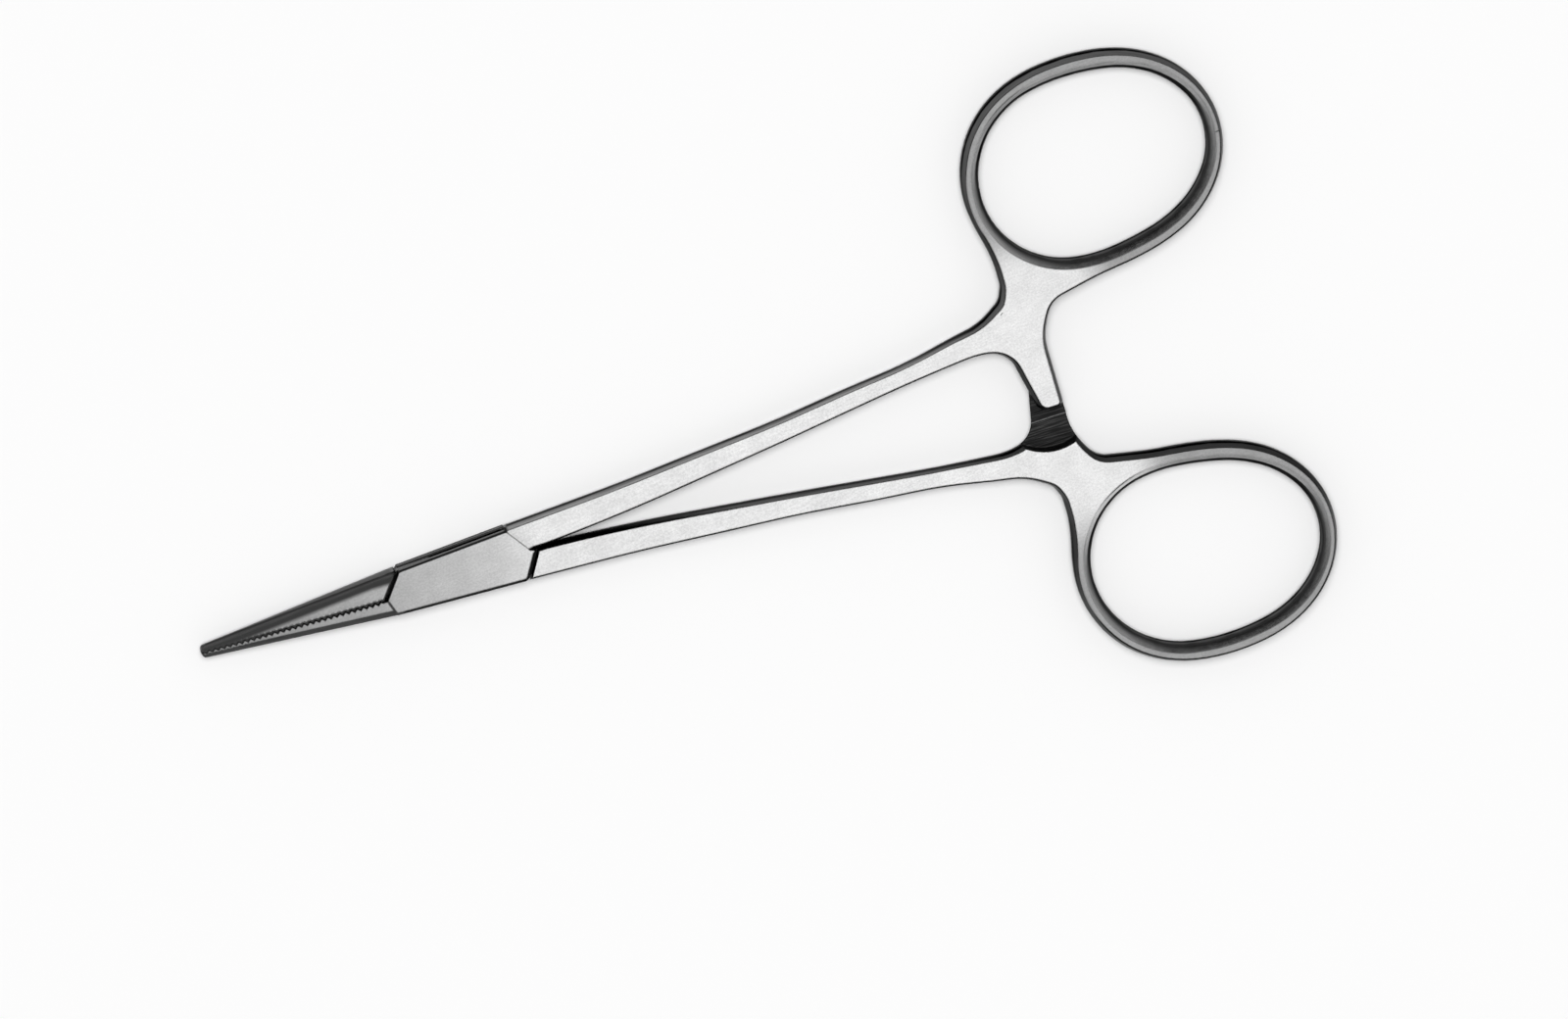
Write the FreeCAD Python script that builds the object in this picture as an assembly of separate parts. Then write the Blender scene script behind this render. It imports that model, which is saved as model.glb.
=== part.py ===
import FreeCAD, Part
import math
import os

# Straight mosquito forceps, closed, lying on its side. Millimetres. +X runs from the box lock to
# the finger rings, +Y across the instrument, +Z out of its flat side. The hinge pin stands on the
# origin, and the instrument rests on the plane z = 0.

Vec = FreeCAD.Vector

# Driving dimension of the whole instrument
thickness = 4.0

# Box lock: two cheeks with a slot between them, and a tenon that turns in the slot
cheek = 1.25
slot_play = 0.05
shoulder_gap = 0.36
shoulder_x = 8.7
box_front_half = 2.35
box_rear_half = 3.08
box_edge = 0.3
box_corner_round = 0.6
lock_reach = 4.0
pin_diameter = 1.8
pin_play = 0.04

# Jaws: half-round outside, cross serrations on the faces that meet
jaw_length = 30.1
jaw_root_x = 6.0
jaw_root_half = 2.62
jaw_tip_half = 0.72
jaw_root_flat = 1.85
jaw_tip_flat = 0.08
jaw_root_thick = 3.8
jaw_tip_thick = 1.7
jaw_root_fullness = 0.85
jaw_tip_fullness = 0.56
jaw_tip_radius = 0.74
jaw_nose_radius = 0.5
jaw_axis_y = -0.13
jaw_stock = 0.9
parting_root_y = -0.5
parting_tip_y = -0.1
jaw_root_gap = 0.24
jaw_tip_gap = 0.1
tooth_pitch = 0.68
tooth_depth = 0.32
tooth_first_x = 9.3

# Shank, with its depth at the lock and where it has grown thinnest, and its two sides half way
shank_depth_root = 3.1
shank_depth_thin = 2.7
shank_root_x = 5.0
shank_mid_x = 43.0
shank_mid_outer = 6.08
shank_mid_inner = 3.66
thin_x = 56.0
full_depth_x = 66.3
side_vertical = 1.2
side_setback = 0.42
side_round = 2.4

# Finger ring: outer and inner ovals about one centre. Each is a turned ellipse, slightly squared and
# with a slight third lobe: long half, short half, turn in degrees, lobe, squareness
ring_x = 79.96
ring_y = 23.12
outer_oval = (15.05, 12.36, 4.3, 0.155, 0.145)
inner_oval = (13.12, 10.16, 5.0, 0.22, 0.15)
ring_from = -72.0
ring_to = 186.0
ring_setback = 1.0
ring_round = 1.5

# Ratchet: two bars that pass each other, each half the instrument's thickness
bar_lead = 13.21
bar_width = 2.78
bar_end_y = -2.4
bar_stock = 1.0
bar_lean = 0.2
bar_grind = 0.02
bar_front_corner = 1.3
bar_rear_corner = 0.8
crest_play = 0.02
ratchet_pitch = 1.4
ratchet_depth = 0.42
ratchet_first = 3.5
recess_lead = 0.75
recess_y = 1.0
recess_radius = 5.85

slot = thickness - 2 * cheek
tenon = slot - 2 * slot_play
half = thickness / 2
bar_front_x = ring_x - bar_lead
bar_rear_x = bar_front_x + bar_width
recess_x = bar_front_x + recess_lead


def vec(x, y, z=0.0):
    return Vec(x, y, z)


def heading(degrees):
    """Unit vector in the plane at an angle from +X."""
    angle = math.radians(degrees)
    return vec(math.cos(angle), math.sin(angle))


def tangent_arc(start, end, along):
    """Arc from start to end that leaves along a given direction, or a line if it is straight."""
    normal = vec(-along.y, along.x)
    chord = end - start
    lean = normal.dot(chord)
    if abs(lean) < 1e-6 * chord.Length:
        return Part.makeLine(start, end)
    radius = chord.dot(chord) / (2 * lean)
    centre = start + normal * radius
    middle = (start + end) * 0.5 - centre
    middle.normalize()
    point = centre + middle * abs(radius)
    if (point - start).dot(along) < 0:
        point = centre - middle * abs(radius)
    return Part.Arc(start, point, end).toShape()


def arc_pair(first, second):
    """Two tangent arcs between two stations, each station being x, y and a heading in degrees."""
    start = vec(first[0], first[1])
    end = vec(second[0], second[1])
    leave = heading(first[2])
    arrive = heading(second[2])
    chord = end - start
    both = leave + arrive
    spread = 2 * (1 - leave.dot(arrive))
    if spread < 1e-9:
        reach = chord.dot(chord) / (4 * chord.dot(arrive))
    else:
        lean = chord.dot(both)
        reach = (-lean + math.sqrt(lean ** 2 + spread * chord.dot(chord))) / spread
    near = start + leave * reach
    far = end - arrive * reach
    join = (near + far) * 0.5
    through = far - near
    through.normalize()
    return [tangent_arc(start, join, leave), tangent_arc(join, end, through)]


def arc_chain(stations):
    """Tangent arcs through a row of stations."""
    edges = []
    for first, second in zip(stations, stations[1:]):
        edges += arc_pair(first, second)
    return edges


def solid_of(edges, low, high):
    """Prism between two heights on a closed outline of edges."""
    wire = Part.Wire(Part.__sortEdges__(edges))
    prism = Part.Face(wire).extrude(vec(0, 0, high - low))
    prism.translate(vec(0, 0, low))
    return prism


def polygon_edges(points):
    """Straight edges round a closed polygon."""
    corners = [vec(x, y) for x, y in points]
    return [Part.makeLine(a, b) for a, b in zip(corners, corners[1:] + corners[:1])]


def oval_point(oval, degrees):
    """Point of a ring's oval: a turned ellipse with a small squared and a small three-lobed term."""
    long_half, short_half, phi, lobe, squareness = oval
    turn = math.radians(degrees)
    local = turn - math.radians(phi)
    across = math.hypot(short_half * math.cos(local), long_half * math.sin(local))
    radius = long_half * short_half / across
    radius += lobe * math.cos(3 * turn) - squareness * math.cos(4 * local)
    return vec(ring_x + radius * math.cos(turn), ring_y + radius * math.sin(turn))


def oval_stations(oval, start, end, count):
    """Stations round a ring's oval."""
    stations = []
    for k in range(count + 1):
        degrees = start + (end - start) * k / count
        here = oval_point(oval, degrees)
        step = oval_point(oval, degrees + 0.01) - oval_point(oval, degrees - 0.01)
        stations.append((here.x, here.y, math.degrees(math.atan2(step.y, step.x))))
    return stations


def edge_near(shape, x, y, z, upright=False):
    """The level or upright edge of a shape that lies nearest to a point."""
    probe = Part.Vertex(vec(x, y, z))
    edges = [edge for edge in shape.Edges if (edge.BoundBox.ZLength > 1e-6) == upright]
    return min(edges, key=lambda edge: probe.distToShape(edge)[0])


def side_prism(edges, near_y, far_y):
    """Prism across the instrument on a closed outline drawn in X and Z."""
    wire = Part.Wire(Part.__sortEdges__(edges))
    prism = Part.Face(wire).extrude(vec(0, far_y - near_y, 0))
    prism.translate(vec(0, near_y, 0))
    return prism


def turned_over(shape):
    """The same shape turned half a turn about the long axis, as the other arm has it."""
    copy = shape.copy()
    copy.rotate(vec(0, 0), vec(1, 0), 180)
    return copy


def beyond(start, end, gap, reach):
    """A line moved to its right by a gap and lengthened at both ends."""
    along = vec(end[0] - start[0], end[1] - start[1])
    along.normalize()
    right = vec(along.y, -along.x) * gap
    first = vec(*start) + right - along * reach
    last = vec(*end) + right + along * reach
    return (first.x, first.y), (last.x, last.y)


# Corners of the box lock in plan. The shoulders start at the crotch and where the jaws part, and
# lean towards the two sides.
front_tip = (-shoulder_x, parting_root_y)
rear_tip = (shoulder_x, 0.0)
front_upper = (-6.55, box_front_half)
front_lower = (-8.05, -box_front_half - 0.07)
rear_upper = (6.0, box_rear_half)
rear_heel = (shoulder_x - 0.67, 0.2)
rear_lower = (6.9, -box_rear_half)


def handle_stations():
    """Outline of a handle: round the ring, the outside, the side of the void, and the rear."""
    ring = oval_stations(outer_oval, ring_from, ring_to, 8)
    outside = [
        ring[-1],
        (ring_x - 13.56, ring_y - 7.7, -84),
        (ring_x - 13.51, ring_y - 10.1, -91),
        (ring_x - 13.96, ring_y - 11.65, -114),
        (ring_x - 15.7, ring_y - 13.2, -147),
        (58.0, 8.12, -167),
        (shank_mid_x, shank_mid_outer, -172.5),
        (25.0, 4.42, -175),
        (shank_root_x, 3.22, -177),
    ]
    inside = [
        (shoulder_x + 1.2, 0.04, 3),
        (25.0, 1.38, 7.0),
        (shank_mid_x, shank_mid_inner, 7.9),
        (58.0, 5.54, 5.5),
        (bar_front_x - 3.75, 5.66, -10),
        (bar_front_x - 1.2, 3.2, -79),
        (bar_front_x + bar_lean, bar_end_y - bar_stock, -78),
    ]
    rear = [
        (bar_rear_x, bar_end_y - bar_stock, 90),
        (bar_rear_x, 4.2, 90),
        (bar_rear_x + 1.4, 8.35, 57),
        (ring_x - 4.9, ring_y - 13.06, 12),
        ring[0],
    ]
    return ring, outside, inside, rear


def bevelled_half():
    """Front half of a handle's full outline, from the mid plane up, with bevelled, rounded sides."""
    ring, outside, inside, rear = handle_stations()
    bar_end = [Part.makeLine(vec(*inside[-1][:2]), vec(*rear[0][:2]))]
    root = [(shank_root_x, outside[-1][1]), (shank_root_x, inside[0][1]), inside[0][:2]]
    lock_end = polygon_edges(root)[:2]
    edges = arc_chain(ring) + arc_chain(outside) + arc_chain(inside) + arc_chain(rear)
    body = solid_of(edges + lock_end + bar_end, 0, half)
    eye = solid_of(arc_chain(oval_stations(inner_oval, 0, 360, 8)), -1, half + 1)
    body = body.cut(eye)
    bevel = half - side_vertical / 2
    eye_top = oval_point(inner_oval, 90)
    rims = [
        (shank_mid_x, shank_mid_outer, side_setback, side_round),
        (shank_mid_x, shank_mid_inner, side_setback, side_round),
        (eye_top.x, eye_top.y, ring_setback, ring_round),
    ]
    for x, y, setback, _ in rims:
        body = body.makeChamfer(setback, bevel, [edge_near(body, x, y, half)])
    for x, y, _, rounding in rims:
        body = body.makeFillet(rounding, [edge_near(body, x, y, side_vertical / 2)])
    return body


def shank_relief():
    """What is ground off the shank's flat, from the lock to where the ring's full depth begins."""
    root = vec(-1.0, 0, shank_depth_root / 2)
    thin = vec(thin_x, 0, shank_depth_thin / 2)
    rise = half - thin.z
    middle = vec((thin_x + full_depth_x) / 2, 0, thin.z + rise * 0.3)
    full = vec(full_depth_x, 0, half)
    above = half + 1
    edges = [
        Part.makeLine(root, thin),
        Part.Arc(thin, middle, full).toShape(),
        Part.makeLine(full, vec(full_depth_x, 0, above)),
        Part.makeLine(vec(full_depth_x, 0, above), vec(root.x, 0, above)),
        Part.makeLine(vec(root.x, 0, above), root),
    ]
    return side_prism(edges, -1.0, 14.0)


def bar_end_trim():
    """What is ground off the end of the ratchet bar, to round its corners and bevel its rim."""
    low = bar_end_y - bar_stock - 1
    rise = math.tan(math.radians(12))
    lead = bar_front_x + bar_lean - (bar_stock + bar_grind) * rise - bar_grind
    right = bar_rear_x + bar_grind
    top = bar_end_y + 3 * bar_front_corner
    around = [(lead - 2, low), (right + 1, low), (right + 1, top - 1), (lead - 2, top - 1)]
    stock = solid_of(polygon_edges(around), -1, half + 1)
    top_lead = lead - (top - bar_end_y) * rise
    outline = [(lead, bar_end_y), (right, bar_end_y), (right, top), (top_lead, top)]
    keep = solid_of(polygon_edges(outline), -2, half)
    for x, rounding in ((lead, bar_front_corner), (right, bar_rear_corner)):
        keep = keep.makeFillet(rounding, [edge_near(keep, x, bar_end_y, 0, upright=True)])
    middle = (lead + right) / 2
    bevel = half - side_vertical / 2
    keep = keep.makeChamfer(bevel, side_setback, [edge_near(keep, middle, bar_end_y, half)])
    return stock.cut(keep)


def ratchet_cut():
    """Round recess in the back half of a handle, whose floor carries the ratchet teeth."""
    root = crest_play + ratchet_depth
    low = -half - 1
    wall_y = recess_y + recess_radius + 1
    profile = [(wall_y, low), (wall_y, root), (ratchet_first, root), (ratchet_first, crest_play)]
    y = ratchet_first - ratchet_pitch
    while y > bar_end_y - bar_stock - ratchet_pitch:
        profile += [(y, root), (y, crest_play)]
        y -= ratchet_pitch
    profile += [(profile[-1][0], low)]
    points = [vec(recess_x - 2 * recess_radius, py, pz) for py, pz in profile]
    edges = [Part.makeLine(a, b) for a, b in zip(points, points[1:] + points[:1])]
    teeth = Part.Face(Part.Wire(edges)).extrude(vec(4 * recess_radius, 0, 0))
    cutter = Part.makeCylinder(recess_radius, 2 * thickness, vec(recess_x, recess_y, -thickness))
    return teeth.common(cutter)


def handle():
    """Shank, ratchet bar and finger ring of one arm, with the bar in the front half."""
    front = bevelled_half().cut(shank_relief())
    front = front.cut(bar_end_trim())
    back = front.mirror(vec(0, 0), vec(0, 0, 1))
    whole = front.fuse(back).removeSplitter()
    return whole.cut(ratchet_cut())


def jaw_section(distance, half_width, flat, thick, fullness):
    """Section of the lower jaw at a distance in front of the pin: flat cheeks and a round back."""
    x = -distance
    depth = half_width - flat
    high = thick / 2
    corners = [vec(x, -flat, -high), vec(x, jaw_stock, -high)]
    corners += [vec(x, jaw_stock, high), vec(x, -flat, high)]
    sides = [Part.makeLine(a, b) for a, b in zip(corners, corners[1:])]
    apex = vec(x, -half_width, 0)
    quarters = []
    for sign in (1, -1):
        curve = Part.BezierCurve()
        start = vec(x, -flat, sign * high)
        start_pull = vec(x, -flat - fullness * depth, sign * high)
        end_pull = vec(x, -half_width, sign * fullness * high)
        curve.setPoles([start, start_pull, end_pull, apex])
        quarters.append(curve.toShape())
    return Part.Wire(Part.__sortEdges__(sides + quarters))


def between(at_root, at_tip, x):
    """Value at a place along the jaws, between those at the shoulder and at the tip."""
    share = (-x - shoulder_x) / (jaw_length - shoulder_x)
    return at_root + (at_tip - at_root) * share


def serration_line(side):
    """Zigzag of one jaw's serrations, from the lock to the tip, with a flat at the lock."""
    points = [(-jaw_root_x, 0.0), (-tooth_first_x, 0.0)]
    count = int((jaw_length - tooth_first_x) / tooth_pitch)
    for k in range(count):
        start = -tooth_first_x - k * tooth_pitch
        points.append((start - tooth_pitch / 4, tooth_depth / 2))
        points.append((start - tooth_pitch * 3 / 4, -tooth_depth / 2))
    points.append((-tooth_first_x - count * tooth_pitch, 0.0))
    points.append((-jaw_length - 1, 0.0))
    line = []
    for x, rise in points:
        gap = between(jaw_root_gap, jaw_tip_gap, x)
        line.append((x, between(parting_root_y, parting_tip_y, x) + rise + side * gap / 2))
    return line


def jaw_blank():
    """Lower jaw before its serrations: a tapering half-round with a rounded nose."""
    tip = jaw_section(jaw_length, jaw_tip_half, jaw_tip_flat, jaw_tip_thick, jaw_tip_fullness)
    root = jaw_section(jaw_root_x, jaw_root_half, jaw_root_flat, jaw_root_thick, jaw_root_fullness)
    blank = Part.makeLoft([tip, root], True, True)
    centre_x = -jaw_length + jaw_tip_radius
    nose = Part.makeCylinder(jaw_tip_radius, 2 * thickness, vec(centre_x, 0, -thickness))
    rear = Part.makeBox(jaw_length, 2 * thickness, 2 * thickness, vec(centre_x, -thickness, -thickness))
    blank = blank.common(nose.fuse(rear).removeSplitter())
    tip_high = jaw_tip_thick / 2
    root_high = jaw_root_thick / 2 + 0.1
    corners = [(-jaw_length, -tip_high), (-jaw_root_x + 1, -root_high),
               (-jaw_root_x + 1, root_high), (-jaw_length, tip_high)]
    points = [vec(x, 0, z) for x, z in corners]
    edges = [Part.makeLine(a, b) for a, b in zip(points, points[1:] + points[:1])]
    wedge = side_prism(edges, -thickness, thickness)
    across = [e for e in wedge.Edges if e.BoundBox.XMax < -jaw_length + 0.01 and e.BoundBox.YLength > 1]
    return blank.common(wedge.makeFillet(jaw_nose_radius, across))


def serrated(blank, side):
    """Set a jaw on the jaws' axis and cut its serrations: side is -1 for the lower, 1 for the upper."""
    jaw = blank.copy()
    jaw.translate(vec(0, jaw_axis_y))
    line = serration_line(side)
    far = -side * thickness
    outline = line + [(line[-1][0], far), (line[0][0], far)]
    return jaw.cut(solid_of(polygon_edges(outline), -thickness, thickness))


def box_block():
    """Outside of the box lock in plan, with its two long sides softened."""
    corners = [front_tip, front_upper, rear_upper, rear_heel, rear_tip, rear_lower, front_lower]
    block = solid_of(polygon_edges(corners), -half, half)
    upright = [e for e in block.Edges
               if e.BoundBox.ZLength > 1 and abs(e.BoundBox.XMin - rear_lower[0]) < 0.01]
    block = block.makeFillet(box_corner_round, upright)
    long_edges = [e for e in block.Edges if e.BoundBox.XLength > box_front_half * 4]
    return block.makeFillet(box_edge, long_edges)


def slot_space():
    """Slot between the cheeks, open at both sides, with a leaning wall at each end."""
    front_wall = beyond(front_tip, front_lower, 0.0, 0.0)
    front_wall = (front_wall[0], beyond(front_tip, front_lower, 0.0, lock_reach)[1])
    rear_wall = (rear_tip, beyond(rear_tip, rear_upper, 0.0, lock_reach)[1])
    outline = [front_wall[0], front_wall[1], (rear_tip[0], front_wall[1][1]), rear_wall[0],
               rear_wall[1], (front_tip[0], rear_wall[1][1])]
    return solid_of(polygon_edges(outline), -slot / 2, slot / 2)


def shoulder_space():
    """Room that the tenon arm leaves for the box, past both of its shoulders."""
    front = beyond(front_upper, front_tip, shoulder_gap, lock_reach)
    rear = beyond(rear_lower, rear_tip, shoulder_gap, lock_reach)
    outline = [front[1], front[0], rear[1], rear[0]]
    return solid_of(polygon_edges(outline), -thickness, thickness)


def tenon_slab():
    """Thin tongue that joins the upper jaw to the lower shank through the slot."""
    outline = [
        (-10.2, 0.3),
        (-8.9, 1.3),
        (-6.6, 2.25),
        (-3.0, 2.4),
        (8.9, -0.08),
        (11.0, -0.5),
        (11.0, -2.4),
        (6.9, -2.85),
        (3.0, -2.6),
        (-8.43, -0.15),
        (-8.52, 0.05),
    ]
    return solid_of(polygon_edges(outline), -tenon / 2, tenon / 2)


def pin_cylinder(play):
    """The hinge pin, or with a play the hole that turns on it."""
    return Part.makeCylinder(pin_diameter / 2 + play, thickness, vec(0, 0, -half))


def jaw_root_space():
    """What the box takes the place of, behind its front edge, at the root of the lower jaw."""
    front = beyond(front_tip, front_lower, 0.0, lock_reach)
    outline = [front[0], front[1], (0.0, front[1][1]), (0.0, front[0][1])]
    return solid_of(polygon_edges(outline), -thickness, thickness)


def shank_root_space():
    """What is ground off the root of the upper shank, to bring it down to the side of the box."""
    far = beyond(rear_tip, rear_upper, 0.0, lock_reach)[1]
    outline = [front_upper, rear_upper, far, (front_upper[0], far[1])]
    return solid_of(polygon_edges(outline), -thickness, thickness)


def box_arm(blank, grip):
    """The arm with the box: lower jaw, cheeks and upper handle in one forging."""
    arm = grip.cut(shank_root_space())
    arm = arm.fuse(serrated(blank, -1).cut(jaw_root_space()))
    arm = arm.fuse(box_block())
    arm = arm.cut(slot_space())
    return arm.cut(pin_cylinder(0.0)).removeSplitter()


def tenon_arm(blank, grip):
    """The arm that passes through the box: upper jaw, tenon and lower handle in one forging."""
    arm = turned_over(grip).fuse(serrated(turned_over(blank), 1))
    arm = arm.cut(shoulder_space())
    arm = arm.fuse(tenon_slab())
    return arm.cut(pin_cylinder(pin_play)).removeSplitter()


def write(name, shape):
    """Stand a piece on the resting plane and write it as one solid."""
    shape = shape.copy()
    shape.translate(vec(0, 0, half))
    solid = shape.Solids[0]
    print(name, len(shape.Solids), shape.isValid(), round(solid.Volume, 2), solid.BoundBox)
    solid.exportStep(os.path.join("parts", name + ".step"))


os.makedirs("parts", exist_ok=True)
one_jaw = jaw_blank()
one_handle = handle()
write("box_arm", box_arm(one_jaw, one_handle))
write("tenon_arm", tenon_arm(one_jaw, one_handle))
write("lock_pin", pin_cylinder(0.0))
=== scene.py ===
import logging
import math
from dataclasses import dataclass, field
from enum import Enum

import bpy
from mathutils import Matrix, Vector

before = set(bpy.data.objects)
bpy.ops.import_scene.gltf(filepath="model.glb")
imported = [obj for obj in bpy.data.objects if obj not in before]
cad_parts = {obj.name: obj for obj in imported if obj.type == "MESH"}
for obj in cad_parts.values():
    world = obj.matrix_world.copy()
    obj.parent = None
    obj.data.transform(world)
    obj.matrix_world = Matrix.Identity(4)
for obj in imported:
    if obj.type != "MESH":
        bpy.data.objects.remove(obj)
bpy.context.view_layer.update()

# Straight mosquito forceps lying on a white table. Metres, +X from the box lock to the finger rings,
# +Y across the instrument, +Z out of its flat side.

MM = 0.001
log = logging.getLogger("forceps")

Socket = bpy.types.NodeSocket
Stops = tuple[tuple[float, float], ...]

# Places that the finishes share, in millimetres.
MID_PLANE = 2.0
PIN_RADIUS = 0.9
RING_CENTRE = (79.96, 23.12)
EYE_HALVES = (13.12, 10.16)
EYE_TURN_DEG = 5.0
EYE_RIM = 1.33
STEP_LINE = ((6.0, 3.08), (8.03, 0.2))
LOCK_FRONT = (-7.0, -7.6)
LOCK_REAR = (6.1, 6.5)
RING_ROOT = (52.0, 64.0)
RATCHET_ROOT = (-0.5, -0.46)

# Share of the gleam that the steel keeps where it is seen at a low angle.
GRAZING_GLEAM = 0.4


class Sum(Enum):
    """Arithmetic that the finishes use."""

    ADD = "ADD"
    SUBTRACT = "SUBTRACT"
    MULTIPLY = "MULTIPLY"
    ABSOLUTE = "ABSOLUTE"
    MAXIMUM = "MAXIMUM"


class Seen(Enum):
    """Kinds of ray that a studio card is shown to."""

    CAMERA = "visible_camera"
    DIFFUSE = "visible_diffuse"
    GLOSSY = "visible_glossy"
    TRANSMISSION = "visible_transmission"
    SHADOW = "visible_shadow"


@dataclass
class Bench:
    """Node tree on which one finish is put together."""

    tree: bpy.types.NodeTree

    def node(self, kind: str, **settings: object) -> bpy.types.Node:
        """Add a node.

        Args:
            kind: Blender's name of the node's type.
            settings: Properties to set on it.

        Returns:
            The new node.
        """
        made = self.tree.nodes.new(kind)
        for name, value in settings.items():
            setattr(made, name, value)
        return made

    def feed(self, socket: Socket, value: object) -> None:
        """Set a socket to a plain value, or link it if the value is another node's output.

        Args:
            socket: Input that gets the value.
            value: A number, a tuple or an output socket.
        """
        if isinstance(value, bpy.types.NodeSocket):
            self.tree.links.new(value, socket)
        else:
            socket.default_value = value

    def sum(self, kind: Sum, first: object, second: object = 0.0, clamp: bool = False) -> Socket:
        """Work out one step of arithmetic.

        Args:
            kind: The operation.
            first: First number or socket.
            second: Second number or socket.
            clamp: Whether the result is held between 0 and 1.

        Returns:
            The result's socket.
        """
        made = self.node("ShaderNodeMath", operation=kind.value, use_clamp=clamp)
        self.feed(made.inputs[0], first)
        self.feed(made.inputs[1], second)
        return made.outputs[0]

    def step(self, value: object, low: float, high: float, start: float = 0.0, end: float = 1.0) -> Socket:
        """Turn a value into a smooth step.

        Args:
            value: Number or socket to map.
            low: Value at which the step starts.
            high: Value at which the step ends.
            start: Result before the step.
            end: Result after the step.

        Returns:
            The result's socket.
        """
        made = self.node("ShaderNodeMapRange", interpolation_type="SMOOTHSTEP")
        for socket, number in zip(made.inputs, (value, low, high, start, end)):
            self.feed(socket, number)
        return made.outputs[0]

    def lay(self, share: object, under: object, over: object) -> Socket:
        """Lay one colour over another.

        Args:
            share: How much of the upper colour shows.
            under: Lower colour.
            over: Upper colour.

        Returns:
            The mixed colour's socket.
        """
        made = self.node("ShaderNodeMix", data_type="RGBA")
        self.feed(made.inputs[0], share)
        self.feed(made.inputs[6], under)
        self.feed(made.inputs[7], over)
        return made.outputs[2]

    def between(self, share: Socket, first: Socket, second: Socket) -> Socket:
        """Mix two directions.

        Args:
            share: How much of the second counts.
            first: First direction.
            second: Second direction.

        Returns:
            The mixed direction's socket.
        """
        made = self.node("ShaderNodeMix", data_type="VECTOR")
        self.feed(made.inputs[0], share)
        self.feed(made.inputs[4], first)
        self.feed(made.inputs[5], second)
        return made.outputs[1]

    def scaled(self, where: Socket, scale: tuple[float, float, float], turn_deg: float = 0.0) -> Socket:
        """Scale and turn a place in the part's own space.

        Args:
            where: Place to map.
            scale: Scale along each axis.
            turn_deg: Turn about Z, made before the scaling.

        Returns:
            The mapped place's socket.
        """
        turned = self.node("ShaderNodeVectorRotate", rotation_type="Z_AXIS")
        self.feed(turned.inputs["Vector"], where)
        self.feed(turned.inputs["Angle"], math.radians(turn_deg))
        made = self.node("ShaderNodeVectorMath", operation="MULTIPLY")
        self.feed(made.inputs[0], turned.outputs[0])
        self.feed(made.inputs[1], scale)
        return made.outputs[0]

    def noise(self, where: Socket, scale: float, detail: float = 2.0, roughness: float = 0.5) -> Socket:
        """Add smooth noise.

        Args:
            where: Place to sample.
            scale: Waves per metre of that place.
            detail: Octaves.
            roughness: Share of the finer octaves.

        Returns:
            Socket of a value from 0 to 1.
        """
        made = self.node("ShaderNodeTexNoise")
        self.feed(made.inputs["Vector"], where)
        self.feed(made.inputs["Scale"], scale)
        self.feed(made.inputs["Detail"], detail)
        self.feed(made.inputs["Roughness"], roughness)
        return made.outputs["Fac"]

    def ramp(self, value: Socket, stops: Stops) -> Socket:
        """Read a grey from stops along a value.

        Args:
            value: Position from 0 to 1.
            stops: Positions and greys.

        Returns:
            The grey's socket.
        """
        made = self.node("ShaderNodeValToRGB")
        band = made.color_ramp
        band.interpolation = "LINEAR"
        while len(band.elements) < len(stops):
            band.elements.new(0.5)
        for element, (position, grey) in zip(band.elements, stops):
            element.position = position
            element.color = (grey, grey, grey, 1.0)
        self.feed(made.inputs[0], value)
        return made.outputs[0]


@dataclass(frozen=True)
class Nick:
    """Small straight mark in the steel.

    Attributes:
        x: Its middle along the instrument, in millimetres.
        y: Its middle across the instrument, in millimetres.
        length: Its length, in millimetres.
        width: Its width, in millimetres.
        turn_deg: Its angle from +X.
    """

    x: float
    y: float
    length: float
    width: float
    turn_deg: float


@dataclass(frozen=True)
class Survey:
    """What the steps of a finish start from, in the part's own space and in millimetres.

    Attributes:
        place: The place itself.
        x: Its distance along the instrument.
        outward: Its distance from the middle towards the arm's own ring.
        y: Its distance across the instrument.
        height: Its height over the middle plane, below it negative.
        depth: Its distance from the middle plane.
        normal: Normal of the surface, with the edges broken.
        level: How level the surface lies, from 0 for upright to 1.
        rising: How far it faces up, from -1 to 1.
        across: How far the surface faces +Y, from -1 to 1.
        leaning: How far it faces the side of the arm's own ring, from -1 to 1.
    """

    place: Socket
    x: Socket
    outward: Socket
    y: Socket
    height: Socket
    depth: Socket
    normal: Socket
    level: Socket
    rising: Socket
    across: Socket
    leaning: Socket


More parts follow.
